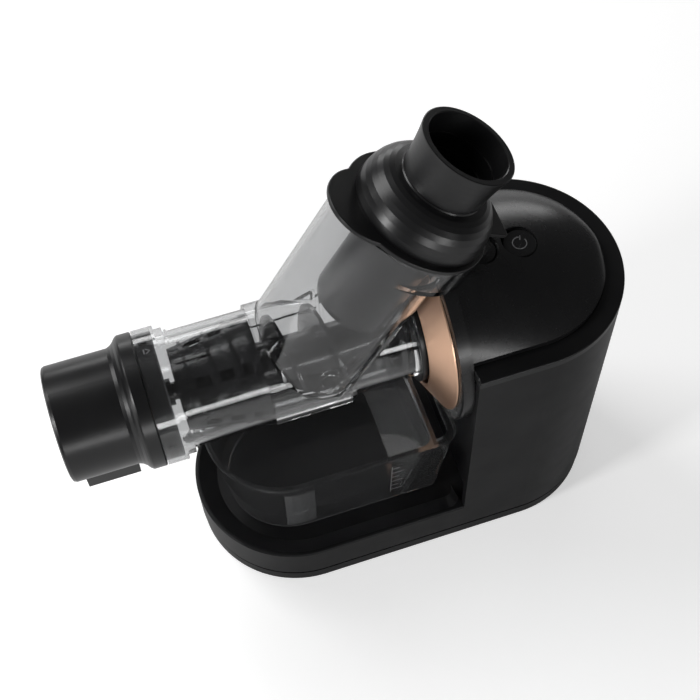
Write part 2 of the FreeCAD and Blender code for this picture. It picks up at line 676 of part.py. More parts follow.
def build_gears():
    """Each pinion shows a tooth upwards; the wheel above it shows a gap downwards."""
    wheel = gear(num("stage_c_wheel"), num("stage_c_module"), num("stage_c_x"),
                 num("stage_c_face"), OUTPUT_Z, 180 + half_step(num("stage_c_wheel")))
    hub = x_rod(63.0, 110.0, 11.0, OUTPUT_Z)
    journal = x_rod(110.0, num("gearbox_rear") + 2.4, 5.0, OUTPUT_Z)
    socket = hexagon_rod(62.0, 82.0, 5.25, OUTPUT_Z)
    spindle = wheel.fuse([hub, journal]).cut(socket)
    labelled(shape_part("output_spindle", spindle), "output_spindle")

    for label, centre, low, high in (("second_idler_gear", SECOND_Z, "b", "c"),
                                     ("first_idler_gear", FIRST_Z, "a", "b")):
        teeth = num(f"stage_{low}_wheel")
        big = gear(teeth, num(f"stage_{low}_module"), num(f"stage_{low}_x"),
                   num(f"stage_{low}_face"), centre, 180 + half_step(teeth))
        small = gear(num(f"stage_{high}_pinion"), num(f"stage_{high}_module"),
                     num(f"stage_{high}_x"), num(f"stage_{low}_x") - num(f"stage_{high}_x"),
                     centre, 0)
        bore = x_rod(70.0, 120.0, 3.05, centre)
        labelled(shape_part(label, big.fuse(small).cut(bore)), label)

    axles = [x_rod(num("gearbox_front"), num("gearbox_rear") + 2.5, 3.0, centre)
             for centre in (SECOND_Z, FIRST_Z)]
    labelled(shape_part("idler_axles", Part.makeCompound(axles)), "idler_axles")


def hexagon_rod(x_start, x_end, apothem, height):
    """A hexagonal bar along X: the apothem is half the distance across flats."""
    radius = apothem / math.cos(math.radians(30))
    points = [Vector(x_start, radius * math.sin(math.radians(60 * k)),
                     height + radius * math.cos(math.radians(60 * k))) for k in range(7)]
    return Part.Face(Part.makePolygon(points)).extrude(Vector(x_end - x_start, 0, 0))


def gearbox_outline(name, x_span, inset):
    head = axial(name + "_head", x_span, dim("gearbox_head_radius") - inset)
    half = dim("gearbox_half_width") - inset
    trunk = box(name + "_trunk", x_span, (-half, half), (MOTOR_Z - 24 + inset, "axis_height"))
    return joined(name, [head, trunk])


def build_gearbox():
    shell = without("gearbox_cup",
                    gearbox_outline("gearbox_outer", ("gearbox_front", "gearbox_rear"), 0),
                    [gearbox_outline("gearbox_inner", (dim("gearbox_front") + "gearbox_wall",
                                                       dim("gearbox_rear") + 1),
                                     num("gearbox_wall"))])
    boss = axial("gearbox_boss", (68.0, "gearbox_front"), 20.0)
    ears = [box(f"gearbox_ear_{i}", (dim("front_wall_x") + "shell_wall", 84.5),
                (min(spot.y * 0.8, spot.y * 1.15), max(spot.y * 0.8, spot.y * 1.15)),
                (spot.z - 7, spot.z + 7)) for i, spot in enumerate(GEARBOX_SCREW_SPOTS)]
    body = joined("gearbox_blank", [shell, boss] + ears)
    bearing_bore = axial("gearbox_bearing_bore", (67.0, 83.0), 16.0)
    axle_holes = [axial(f"gearbox_axle_hole_{i}", (79.0, 84.0), 3.0, centre)
                  for i, centre in enumerate((SECOND_Z, FIRST_Z))]
    screw_holes = shank_holes("gearbox_screw_holes", GEARBOX_SCREW_SPOTS, "-X", SCREW_SHANK,
                              GEARBOX_SCREW_LENGTH)
    keep_ears_out = gearbox_outline("gearbox_clear", (dim("gearbox_front") + "gearbox_wall",
                                                      dim("gearbox_rear") + 1),
                                    num("gearbox_wall"))
    labelled(without("gearbox_housing", body,
                     [bearing_bore, screw_holes, keep_ears_out] + axle_holes), "gearbox_housing")
    screw_set("gearbox_screws", GEARBOX_SCREW_SPOTS, "-X", 3.8, 2.4, SCREW_SHANK,
              GEARBOX_SCREW_LENGTH)

    lid = gearbox_outline("gearbox_lid_blank", ("gearbox_rear", dim("gearbox_rear") + 2.5), 0)
    lid_holes = [axial(f"lid_axle_hole_{i}", (113.0, 118.0), 3.0, centre)
                 for i, centre in enumerate((SECOND_Z, FIRST_Z))]
    lid_holes.append(axial("lid_journal_hole", (113.0, 118.0), 5.05))
    lid_holes.append(axial("lid_motor_hole", (113.0, 118.0), 7.0, MOTOR_Z))
    lid_holes.append(shank_holes("lid_motor_screw_holes", motor_screw_spots(), "X", 1.75, 8.0))
    labelled(without("gearbox_cover", lid, lid_holes), "gearbox_cover")

    bearings = [ring(68.6 + 5.4 * k, 73.6 + 5.4 * k, 11.05, 16.0, OUTPUT_Z) for k in range(2)]
    labelled(shape_part("output_bearings", Part.makeCompound(bearings)), "output_bearings")
    seal = turned("shaft_seal", [(66.4, 11.1), (66.4, 19.0), (67.9, 19.0), (67.9, 11.1)])
    labelled(seal, "shaft_seal")


def ring(x_start, x_end, inner, outer, height):
    return x_rod(x_start, x_end, outer, height).cut(x_rod(x_start - 1, x_end + 1, inner, height))


def motor_screw_spots():
    reach = 24.0 * math.sqrt(0.5)
    return [Vector(num("gearbox_rear"), sy * reach, MOTOR_Z + sz * reach)
            for sy in (-1, 1) for sz in (-1, 1)]


def build_motor():
    front, rear = num("motor_front"), num("motor_rear")
    radius, wall = num("motor_radius"), num("motor_can_wall")
    can = ring(front + 3, rear - 3, radius - wall, radius, MOTOR_Z)
    labelled(shape_part("motor_can", can), "motor_can")
    shields = []
    for start in (front, rear - 3):
        plate = ring(start, start + 3, 8.0, radius, MOTOR_Z)
        if start == front:
            holes = Part.makeCompound([x_rod(front - 1, front + 4, 1.75, spot.z, spot.y)
                                       for spot in motor_screw_spots()])
            plate = plate.cut(holes)
        shields.append(plate)
    labelled(shape_part("motor_end_shields", Part.makeCompound(shields)), "motor_end_shields")
    standoff = Part.makeCompound([ring_at(num("gearbox_rear") + 2.5, front, 1.75, 4.0, spot)
                                  for spot in motor_screw_spots()])
    labelled(shape_part("motor_spacers", standoff), "motor_spacers")
    screw_set("motor_screws", motor_screw_spots(), "X", 3.4, 2.0, 1.75, 6.0)
    stator = ring(front + 9, rear - 12, num("rotor_radius") + num("rotor_gap"), radius - wall,
                  MOTOR_Z)
    slots = []
    for k in range(12):
        slot = Part.makeBox(rear - front, 4.0, 9.0, Vector(front, -2.0, 19.0))
        slot.rotate(Vector(0, 0, 0), Vector(1, 0, 0), 30.0 * k)
        slot.translate(Vector(0, 0, MOTOR_Z))
        slots.append(slot)
    labelled(shape_part("motor_stator", stator.cut(slots)), "motor_stator")
    coils = [ring(start, start + 5.0, 19.5, 28.0, MOTOR_Z) for start in (front + 3.9, rear - 11.9)]
    labelled(shape_part("motor_coils", Part.makeCompound(coils)), "motor_coils")
    bearings = [ring(start, start + 3.0, num("motor_shaft_radius") + 0.05, 8.0, MOTOR_Z)
                for start in (front, rear - 3)]
    labelled(shape_part("motor_bearings", Part.makeCompound(bearings)), "motor_bearings")

    shaft = x_rod(num("stage_a_x") - 1, 184.0, num("motor_shaft_radius"), MOTOR_Z)
    core = x_rod(front + 10, rear - 13, num("rotor_radius"), MOTOR_Z)
    pinion = gear(num("stage_a_pinion"), num("stage_a_module"), num("stage_a_x"),
                  num("stage_a_face"), MOTOR_Z, 0)
    labelled(shape_part("motor_rotor", core.fuse([shaft, pinion])), "motor_rotor")
    hub = ring(175.0, 183.0, num("motor_shaft_radius"), 8.0, MOTOR_Z)
    disc = ring(175.0, 176.5, 6.0, 29.0, MOTOR_Z)
    blades = []
    for k in range(9):
        blade = Part.makeBox(6.6, 1.4, 21.6, Vector(176.4, -0.7, 7.4))
        blade.rotate(Vector(0, 0, 0), Vector(1, 0, 0), 40.0 * k)
        blade.translate(Vector(0, 0, MOTOR_Z))
        blades.append(blade)
    labelled(shape_part("motor_fan", hub.fuse([disc] + blades).removeSplitter()), "motor_fan")


def ring_at(x_start, x_end, inner, outer, spot):
    """A spacer tube along X through a screw's spot."""
    tube = x_rod(x_start, x_end, outer, spot.z, spot.y)
    return tube.cut(x_rod(x_start - 1, x_end + 1, inner, spot.z, spot.y))


def build_interlock():
    body = Part.makeBox(8, 12, 18, Vector(79.2, 50, 205.0))
    labelled(shape_part("interlock_switch", body), "interlock_switch")


# ---------------------------------------------------------------------------
# Juicing chamber
# ---------------------------------------------------------------------------
def collar_ears():
    """The squared-off side of the feed collar, tangent to its round, along local +Z."""
    radius = num("feed_collar_radius")
    reach, half = num("collar_ear_reach"), num("collar_ear_half_width")
    low, high = num("hopper_top") + 4, num("feed_collar_top")
    angle = math.atan2(half, reach) + math.acos(radius / math.hypot(reach, half))
    across, up = radius * math.cos(angle), radius * math.sin(angle)
    corners = [Vector(across, up, low), Vector(reach, half, low), Vector(reach, -half, low),
               Vector(across, -up, low)]
    return Part.Face(Part.makePolygon(corners + corners[:1])).extrude(Vector(0, 0, high - low))


def build_chamber_body():
    wall = dim("tube_wall")
    hopper_wall = dim("hopper_wall")
    axis = dim("axis_height")
    saddle = shared("chamber_saddle", axial("saddle_round", ("saddle_left", "saddle_right"),
                                            "saddle_radius"),
                    box("saddle_keep", (dim("saddle_left") - 1, dim("saddle_right") + 1), (-60, 60),
                        (axis - 9, axis + 60)))
    outer = joined("chamber_outer", [
        axial("chamber_tube", ("tube_left", dim("saddle_right") + 4), "tube_radius"),
        axial("chamber_drive_tube", ("saddle_right", "drive_tube_end"), "drive_tube_radius"),
        axial("chamber_collar", ("collar_left", "collar_right"), "collar_radius"),
        axial("chamber_step", ("collar_right", "tube_left"), 42.4),
        axial("chamber_bead", (dim("tube_left") + 1.2, dim("tube_left") + 2.6),
              dim("tube_radius") + 1.2),
        saddle,
        feed_rod("chamber_hopper", 2, "feed_collar_top", "hopper_radius", "hopper_offset"),
        feed_rod("chamber_feed_collar", "hopper_top", "feed_collar_top", "feed_collar_radius"),
        shape_part("chamber_collar_ears", collar_ears(),
                   Placement(feed_point(0.0), FEED_ROTATION)),
        box("chamber_sump", (dim("tube_left") + 6, dim("drive_tube_end") - 6),
            (-dim("sump_half_width"), "sump_half_width"), ("sump_bottom", dim("sump_bottom") + 20)),
        rod("chamber_outlet", "Z", ("outlet_x", 0, "outlet_bottom"), "outlet_radius", 8),
        box("chamber_rib", (dim("tube_left") + 0.5, -87), (-5.5, -2.5), (axis + 36, axis + 41.4)),
    ])
    hollows = [
        axial("chamber_bore", (dim("collar_left") + 8, dim("saddle_right") + 4 - wall),
              dim("tube_radius") - wall),
        axial("chamber_collar_bore", (dim("collar_left") - 1, dim("collar_right") - 2),
              "collar_bore"),
        axial("chamber_lug_groove", (dim("collar_left") + 1.6, dim("collar_right") - 3), 43.9),
        axial("chamber_drive_bore", (dim("saddle_right") - 2, dim("drive_tube_end") - 4),
              dim("drive_tube_radius") - wall),
        axial("chamber_shaft_hole", (30, 50), 13.0),
        feed_rod("chamber_hopper_bore", 2.5, dim("feed_collar_top") + 5,
                 dim("hopper_radius") - hopper_wall, "hopper_offset"),
        feed_rod("chamber_feed_collar_bore", dim("hopper_top") + hopper_wall,
                 dim("feed_collar_top") + 5,
                 dim("feed_collar_radius") - hopper_wall),
        box("chamber_sump_bore", (dim("tube_left") + 6 + "sump_wall",
                                  dim("drive_tube_end") - 6 - "sump_wall"),
            (dim("sump_wall") - "sump_half_width", dim("sump_half_width") - "sump_wall"),
            (dim("sump_bottom") + "sump_wall", dim("sump_bottom") + 22)),
        rod("chamber_outlet_bore", "Z", ("outlet_x", 0, dim("outlet_bottom") - 1),
            dim("outlet_radius") - 2, 14),
    ]
    labelled(without("chamber_body", outer, hollows), "chamber_body")


def build_chamber_fittings():
    flange = turned("locking_flange_ring", [
        (43.0, 36.1), (43.0, 39.6), (43.8, 40.4), (47.0, 40.4), (47.6, 38.2), (50.6, 38.2),
        (50.6, 27.0), (44.1, 27.0), (44.1, 36.1)])
    lugs = [box(f"locking_lug_{k}", (51.0 - 5.0, 50.6), (-6 + side * 37.0, 6 + side * 37.0),
                (dim("axis_height") - 6, dim("axis_height") + 6)) for k, side in
            enumerate((-1, 1))]
    blank = joined("locking_flange_blank", [flange] + [
        shared(f"locking_lug_trim_{k}", lug, axial(f"locking_lug_round_{k}", (40, 60), 40.4))
        for k, lug in enumerate(lugs)])
    clear = axial("locking_flange_clear", (30.0, 44.1), 36.1)
    inner = axial("locking_flange_inner", (44.0, 60.0), 27.0)
    labelled(without("locking_flange", blank, [clear, inner]), "locking_flange")
    seal = turned("chamber_seal", [
        (40.4, 7.4), (40.4, 12.9), (38.8, 12.9), (38.8, 15.0), (39.6, 15.0), (39.9, 13.0),
        (44.6, 13.0), (44.6, 15.5), (46.2, 15.5), (46.2, 7.4)])
    labelled(seal, "chamber_seal")
    gasket = turned("cap_gasket", [
        (-120.3, 39.9), (-120.3, 42.5), (-119.4, 42.5), (-119.4, 39.9)])
    labelled(gasket, "cap_gasket")


def strainer_radius(x):
    """Outer radius of the strainer's cone at a station."""
    left, right = num("strainer_left"), num("strainer_right") - 4
    share = (x - left) / (right - left)
    return num("strainer_small_radius") + share * (num("strainer_large_radius") - 1.2
                                                   - num("strainer_small_radius"))


def build_strainer():
    left, right = num("strainer_left"), num("strainer_right")
    wall = num("strainer_wall")
    cone = turned("strainer_cone", [
        (left, strainer_radius(left) - wall), (left, strainer_radius(left)),
        (right - 4, strainer_radius(right - 4)), (right - 4, "strainer_large_radius"),
        (right, "strainer_large_radius"), (right, dim("strainer_large_radius") - 2.6),
        (right - 4, strainer_radius(right - 4) - wall)])
    hoops = []
    for k, x in enumerate((-104.0, -88.0, -73.0)):
        reach = strainer_radius(x) + 1.3
        hoops.append(turned(f"strainer_hoop_{k}", [
            (x - 1.0, strainer_radius(x) - 0.8), (x - 1.0, reach), (x + 1.0, reach),
            (x + 1.0, strainer_radius(x) - 0.8)]))
    windows = []
    for band_left, band_right in ((-101.0, -91.0), (-85.0, -76.0), (-70.0, -64.0)):
        for k in range(12):
            if k in (0, 6):
                continue
            slot = Part.makeBox(band_right - band_left, 7.0, 22.0, Vector(band_left, -3.5, 18.0))
            slot.rotate(Vector(0, 0, 0), Vector(1, 0, 0), 30.0 * k)
            slot.translate(Vector(0, 0, num("axis_height")))
            windows.append(slot)
    slots = shape_part("strainer_windows", Part.makeCompound(windows))
    labelled(without("strainer", joined("strainer_blank", [cone] + hoops), [slots]), "strainer")


def auger_flight(length):
    """The helical flight along local +Z, trimmed to the strainer's taper."""
    small, large, taper = num("flight_small_radius"), num("flight_radius"), num("flight_taper_length")
    thick = num("flight_thickness")
    helix = Part.makeHelix(num("flight_pitch"), length, large)
    section = Part.makePolygon([
        Vector(9, 0, -thick / 2), Vector(large, 0, 0.8 - thick / 2),
        Vector(large, 0, thick / 2 - 0.8), Vector(9, 0, thick / 2), Vector(9, 0, -thick / 2)])
    thread = Part.Wire(helix).makePipeShell([section], True, True)
    edge = large - 0.6
    margin = 20.0
    round_edge = Part.makeCylinder(edge, length + 2 * margin, Vector(0, 0, -margin))
    gain = (edge - small) / taper
    tapered = Part.makeCone(small - gain * margin, edge, taper + margin, Vector(0, 0, -margin))
    sleeve = Part.makeCylinder(2 * large, taper + margin, Vector(0, 0, -margin)).cut(tapered)
    return thread.common(round_edge).cut(sleeve)


def build_auger():
    left, plate = num("auger_left"), num("auger_plate_x")
    core_profile = [
        (left - 12, 0), (left - 12, 5.0), (left - 11, 6.0), (left, 6.0), (left, 15.5),
        (plate - 6, 15.5), (plate - 4, 31.0), (plate, 31.0),
        (plate, 8.0), (plate + 5.0, 7.2), (plate + 5.0, 0)]
    core = turned("auger_core", core_profile)
    doc.recompute()
    height = num("axis_height")
    flight = auger_flight(plate - 8 - (left + 3))
    flight.rotate(Vector(0, 0, 0), Vector(0, 1, 0), 90)
    flight.translate(Vector(left + 3, 0, height))
    bore = x_rod(14.0, plate + 6, 5.0, height)
    solid = core.Shape.fuse(flight).removeSplitter().cut(bore)
    labelled(shape_part("auger", solid), "auger")
    shaft = x_rod(14.0, plate + 14, 5.0, height).fuse(hexagon_rod(plate + 14, 78.0, 5.0, height))
    tip = Part.makeCone(6.4, 4.2, 3.0, Vector(75.0, 0, height), Vector(1, 0, 0))
    rest = x_rod(13.0, 75.0, 9.0, height)
    labelled(shape_part("auger_shaft", shaft.common(tip.fuse(rest)).removeSplitter()), "auger_shaft")


# ---------------------------------------------------------------------------
# Pulp cap
# ---------------------------------------------------------------------------
def build_pulp_cap():
    end, radius, wall = dim("cap_end"), dim("cap_radius"), dim("cap_wall")
    flare, collar = dim("cap_flare_left"), dim("cap_collar_left")
    right, wide = dim("cap_collar_right"), dim("collar_radius")
    shell = turned("cap_shell", [
        (end, 0), (end, radius - 2.6), (end + 0.8, radius - 0.8), (end + 2.6, radius),
        (flare, radius), (flare + 2.4, radius + 0.9), (flare + 4.6, radius + 2.6),
        (flare + 6.2, radius + 4.6), (collar + 0.6, wide - 0.5), (collar + 1.6, wide),
        (right - 0.8, wide), (right, wide - 0.8), (right, "neck_outer"),
        ("neck_right", "neck_outer"), ("neck_right", "neck_inner"),
        (flare + 8, "neck_inner"), (flare - 1, radius - wall), (end + wall, radius - wall),
        (end + wall, 9.0), (left_of_auger(), 9.0), (left_of_auger(), 6.35),
        (end + 6.0, 6.35), (end + 6.0, 0)])
    spout = box("cap_spout", ("spout_left", "spout_right"),
                (-dim("spout_half_width"), "spout_half_width"),
                ("spout_bottom", dim("axis_height") - 30))
    spout_bore = box("cap_spout_bore", (dim("spout_left") + wall, dim("spout_right") - wall),
                     (wall - "spout_half_width", dim("spout_half_width") - wall),
                     (dim("spout_bottom") - 1, dim("axis_height") - 10))
    # Only the part of the chute outside the barrel is added, so the barrel keeps its round bore.
    chute = without("cap_chute", spout, [axial("cap_chute_clear", (end - 1, right), radius - wall)])
    lugs = []
    for k in range(3):
        lug = ring(num("collar_left") + 3.0, num("collar_left") + 8.0, num("neck_inner") + 0.5, 43.4,
                   num("axis_height"))
        sector = Part.makeBox(30, 12, 60, Vector(num("collar_left"), -6, 0))
        sector.rotate(Vector(0, 0, 0), Vector(1, 0, 0), 120.0 * k - 30.0)
        sector.translate(Vector(0, 0, num("axis_height")))
        lugs.append(lug.common(sector))
    lug_ring = shape_part("cap_lugs", Part.makeCompound(lugs))
    labelled(without("pulp_cap", joined("cap_blank", [shell, chute, lug_ring]), [spout_bore]),
             "pulp_cap")


def left_of_auger():
    """Station where the cap's centre tube ends, short of the auger's shoulder."""
    return dim("auger_left") - 3


# ---------------------------------------------------------------------------
# Pusher
# ---------------------------------------------------------------------------
def on_feed_axis(obj):
    obj.Placement = Placement(feed_point(0.0), FEED_ROTATION)


def build_pusher():
    top = dim("feed_collar_top")
    flange_low = num(top) + 0.3
    flange_high = flange_low + num("flange_thickness")
    disc = Part.makeCylinder(num("flange_radius"), flange_high - flange_low,
                             Vector(num("flange_offset"), 0, flange_low))
    lobe = Part.makeCylinder(num("flange_lobe_radius"), flange_high - flange_low,
                             Vector(num("flange_lobe_offset"), 0, flange_low))
    half_tab = num("flange_tab_half_width")
    tab = Part.makeBox(num("flange_tab_reach") - 30, 2 * half_tab, flange_high - flange_low,
                       Vector(30, -half_tab, flange_low))
    plate = disc.fuse([lobe, tab]).removeSplitter()
    corners = [edge for edge in plate.Edges if abs(edge.BoundBox.ZLength - num("flange_thickness")) < 1e-3]
    plate = plate.makeFillet(2.0, corners)
    rims = [edge for edge in plate.Edges
            if abs(edge.BoundBox.ZMin - edge.BoundBox.ZMax) < 1e-5]
    plate = plate.makeFillet(0.7, rims)
    neck, shoulder = num("neck_radius"), num("shoulder_radius")
    high = num("neck_height")
    rim, grip_top = num("grip_rim_radius"), num("grip_top")
    dome = [(flange_high - 1.0, shoulder - 0.2), (flange_high + 1.2, shoulder)]
    for k in range(1, 9):
        angle = math.radians(90.0 * k / 8)
        dome.append((flange_high + 1.2 + (high - flange_high - 1.2) * math.sin(angle),
                     neck + 1.2 + (shoulder - neck - 1.2) * math.cos(angle)))
    groove = [(high + 0.2, neck + 0.1), (high + 1.0, neck - 0.4), (high + 1.9, neck)]
    flare = []
    for k in range(7):
        share = k / 6
        flare.append((high + 2.4 + (grip_top - 1.2 - high - 2.4) * share,
                      neck + 0.3 + (rim - neck - 0.3) * share ** 1.7))
    lip = [(grip_top - 0.4, rim + 0.1), (grip_top, rim - 0.5), (grip_top, rim - 3.6),
           (grip_top - 0.5, rim - 4.2)]
    inside = [(grip_top - 14, 24.2), (grip_top - 14, 23.4), (grip_top - 24, 22.6),
              (grip_top - 24, 21.8), (high + 1, 21.4), (high - 6, 21.4),
              (high - 8, 24.4), (flange_high - 1.0, 24.4)]
    outline = dome + groove + flare + lip + inside
    grip = turned("pusher_grip_turned", outline, "Z")
    doc.recompute()
    bore = Part.makeCylinder(24.4, 12, Vector(0, 0, flange_low - 1))
    skirt = Part.makeCylinder(42.9, 5.0, Vector(0, 0, flange_low - 5)).cut(
        Part.makeCylinder(40.7, 6.0, Vector(0, 0, flange_low - 5.5)))
    solid = grip.Shape.fuse([plate, skirt]).cut(bore).removeSplitter()
    labelled(shape_part("pusher_grip", solid,
                        Placement(feed_point(0.0), FEED_ROTATION)), "pusher_grip")

    radius, wall, bottom = num("shaft_radius"), num("shaft_wall"), num("shaft_bottom")
    shaft_top = flange_low
    shaft = turned("pusher_shaft", [
        (bottom, 0), (bottom, radius - 7.0), (bottom + 1.0, radius - 3.6),
        (bottom + 3.2, radius - 1.2), (bottom + 7.0, radius), (shaft_top - 0.02, radius),
        (shaft_top - 0.02, radius - wall - 0.2), (bottom + 8.0, radius - wall),
        (bottom + 4.6, radius - 4.4), (bottom + 2.6, radius - 8.0), (bottom + 2.6, 0)], "Z")
    on_feed_axis(shaft)
    labelled(shaft, "pusher_shaft")


# ---------------------------------------------------------------------------
# Juice container
# ---------------------------------------------------------------------------
def build_container():
    foot, top = num("bin_foot"), num("bin_top")
    wall = num("bin_wall")
    foot_half, rim_half = num("bin_foot_half_width"), num("bin_rim_half_width")
    foot_left, rim_left = num("bin_foot_left"), num("bin_rim_left")
    foot_right, rim_right = num("bin_foot_right"), num("bin_rim_right")
    outer = drafted((foot + 3, foot_left, foot_right, foot_half, 8.0),
                    (top, rim_left, rim_right, rim_half, 12.0))
    plinth = drafted((foot, foot_left + 3, foot_right - 3, foot_half - 3, 6.0),
                     (foot + 3.2, foot_left + 2, foot_right - 2, foot_half - 2, 6.0))
    lip = drafted((top - 3.0, rim_left - 0.4, rim_right - 0.2, rim_half + 0.2, 12.0),
                  (top, rim_left - 1.4, rim_right + 0.8, rim_half + 1.2, 13.0))
    floor = num("bin_floor")
    cavity = drafted((foot + floor, foot_left + wall, num("bin_back_foot"), foot_half - wall, 6.0),
                     (top + 0.01, rim_left + wall, num("bin_back_rim"), rim_half - wall, 8.0))
    slope = (num("bin_back_rim") - num("bin_back_foot")) / (top - foot - floor)
    low_x = num("bin_back_foot") + wall * 1.2
    high_x = low_x + slope * (top + 1 - foot - floor)
    pocket_profile = Part.makePolygon([
        Vector(low_x, -100, foot + floor), Vector(100, -100, foot + floor),
        Vector(100, -100, top - 7), Vector(high_x - slope * 8, -100, top - 7),
        Vector(low_x, -100, foot + floor)])
    pocket = Part.Face(pocket_profile).extrude(Vector(0, 200, 0))
    side_walls = drafted((foot, foot_left, foot_right + 60, foot_half - wall, 6.0),
                         (top + 0.01, rim_left, rim_right + 60, rim_half - wall, 6.0))
    loop = drafted((top - 8, high_x - 60, rim_right - 5, rim_half - 5, 9.0),
                   (top + 1, high_x - 60, rim_right - 5, rim_half - 5, 9.0))
    loop_front = Part.makeBox(200, 200, 30, Vector(high_x - 200, -100, top - 12))
    solid = outer.fuse([plinth, lip]).removeSplitter()
    solid = solid.cut(cavity).cut(pocket.common(side_walls)).cut(loop.cut(loop_front))
    labelled(shape_part("juice_container", solid.removeSplitter()), "juice_container")


build_main_housing()
build_rim_trim()
build_top_cover()
build_buttons()
build_switch_board()
build_front_bezel()
build_copper_cone()
build_base_plate()
build_cord_inlet()
build_gears()
build_gearbox()
build_motor()
build_interlock()
build_chamber_body()
build_chamber_fittings()
build_strainer()
build_auger()
build_pulp_cap()
build_pusher()
build_container()
doc.recompute()


def check_document():
    """Every object must be up to date and every piece a valid solid."""
    for obj in doc.Objects:
        if {"Invalid", "Error"} & set(obj.State):
            raise RuntimeError(f"{obj.Name} failed: {obj.State}")
    for piece in PIECES:
        if piece.Shape.isNull() or not piece.Shape.isValid() or not piece.Shape.Solids:
            raise RuntimeError(f"{piece.Label} has no valid solid")
        box_mm = piece.Shape.BoundBox
        print(f"{piece.Label:20s} solids {len(piece.Shape.Solids):2d}  volume "
              f"{piece.Shape.Volume:10.0f}  x {box_mm.XMin:7.1f} {box_mm.XMax:7.1f}  "
              f"y {box_mm.YMin:6.1f} {box_mm.YMax:6.1f}  z {box_mm.ZMin:6.1f} {box_mm.ZMax:6.1f}")


check_document()
os.makedirs("parts", exist_ok=True)
for piece in PIECES:
    piece.Shape.exportStep(os.path.join("parts", piece.Label + ".step"))
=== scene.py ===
"""Horizontal slow juicer: looks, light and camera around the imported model. Metres, row frame."""
import math

import bpy
from mathutils import Matrix, Vector


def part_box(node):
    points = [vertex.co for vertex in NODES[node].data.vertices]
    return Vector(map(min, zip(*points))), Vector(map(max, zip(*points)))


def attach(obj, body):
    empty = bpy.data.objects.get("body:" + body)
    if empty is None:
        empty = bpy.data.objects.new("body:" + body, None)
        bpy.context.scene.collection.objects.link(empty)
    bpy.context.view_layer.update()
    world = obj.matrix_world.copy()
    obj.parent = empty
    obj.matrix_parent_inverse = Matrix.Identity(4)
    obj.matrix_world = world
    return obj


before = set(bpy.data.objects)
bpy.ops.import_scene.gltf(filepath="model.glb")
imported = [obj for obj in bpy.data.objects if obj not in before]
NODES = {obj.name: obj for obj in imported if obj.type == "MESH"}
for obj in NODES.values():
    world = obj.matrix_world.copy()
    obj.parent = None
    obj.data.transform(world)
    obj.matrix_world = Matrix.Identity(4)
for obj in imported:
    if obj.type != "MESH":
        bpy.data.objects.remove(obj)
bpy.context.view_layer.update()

MM = 0.001
# A noise texture stays between about these two values.
NOISE_LOW, NOISE_HIGH = 0.3, 0.7


# ---------------------------------------------------------------------------
# Materials
# ---------------------------------------------------------------------------
class Shader:
    """A node material with one Principled shader and a few helpers to feed it."""

    def __init__(self, name):
        self.mat = bpy.data.materials.new(name)
        self.mat.use_nodes = True
        self.tree = self.mat.node_tree
        self.main = self.tree.nodes["Principled BSDF"]
        self.out = self.tree.nodes["Material Output"]
        self.where = self.tree.nodes.new("ShaderNodeTexCoord").outputs["Object"]

    def node(self, kind, **values):
        """A new node; each value goes to the input of that name, or else to the setting."""
        made = self.tree.nodes.new("ShaderNode" + kind)
        for key, value in values.items():
            if key in made.inputs:
                made.inputs[key].default_value = value
            else:
                setattr(made, key, value)
        return made

    def link(self, a, b):
        self.tree.links.new(a, b)

    def set(self, **values):
        """Values on the Principled shader's own sockets."""
        for key, value in values.items():
            self.main.inputs[key.replace("_", " ")].default_value = value

    def noise(self, scale, detail=2.0, stretch=None):
        """Noise in the object's own frame. stretch scales each axis first."""
        source = self.where
        if stretch is not None:
            mapping = self.node("Mapping")
            mapping.inputs["Scale"].default_value = stretch
            self.link(source, mapping.inputs["Vector"])
            source = mapping.outputs["Vector"]
        made = self.node("TexNoise", Scale=scale, Detail=detail)
        self.link(source, made.inputs["Vector"])
        return made.outputs["Fac"]

    def spread(self, source, low, high):
        """Map a noise texture's usual values onto a range."""
        made = self.node("MapRange")
        made.inputs["From Min"].default_value = NOISE_LOW
        made.inputs["From Max"].default_value = NOISE_HIGH
        made.inputs["To Min"].default_value = low
        made.inputs["To Max"].default_value = high
        self.link(source, made.inputs["Value"])
        return made.outputs["Result"]

    def roughness(self, source, low, high):
        """Roughness that wanders between two values."""
        self.link(self.spread(source, low, high), self.main.inputs["Roughness"])

    def colour(self, source, first, second):
        """Base colour that wanders between two shades."""
        ramp = self.node("ValToRGB")
        ramp.color_ramp.elements[0].color = (*first, 1)
        ramp.color_ramp.elements[0].position = NOISE_LOW
        ramp.color_ramp.elements[1].color = (*second, 1)
        ramp.color_ramp.elements[1].position = NOISE_HIGH
        self.link(source, ramp.inputs["Fac"])
        self.link(ramp.outputs["Color"], self.main.inputs["Base Color"])

    def bump(self, sources, distance=0.0001):
        """Chain bumps: each entry is (height, strength)."""
        last = None
        for source, strength in sources:
            made = self.node("Bump", Strength=strength, Distance=distance)
            self.link(source, made.inputs["Height"])
            if last is not None:
                self.link(last, made.inputs["Normal"])
            last = made.outputs["Normal"]
        self.link(last, self.main.inputs["Normal"])


GRAIN_SCALE = 3200.0
SINK_MARKS = 0.02
PLASTIC_IOR = 1.49
CLEAR_IOR = 1.46


def moulded(name, dark, light, rough, grain=0.06, specular=0.5):
    """Moulded plastic: a fine spark-eroded grain, slow shade changes and faint sink marks."""
    s = Shader(name)
    s.colour(s.noise(35.0, 3.0), dark, light)
    fine = s.noise(GRAIN_SCALE, 2.0)
    slow = s.noise(60.0, 4.0)
    s.roughness(slow, *rough)
    s.bump([(fine, grain), (s.noise(18.0, 1.0), SINK_MARKS)])
    s.set(IOR=PLASTIC_IOR, Specular_IOR_Level=specular)
    return s.mat


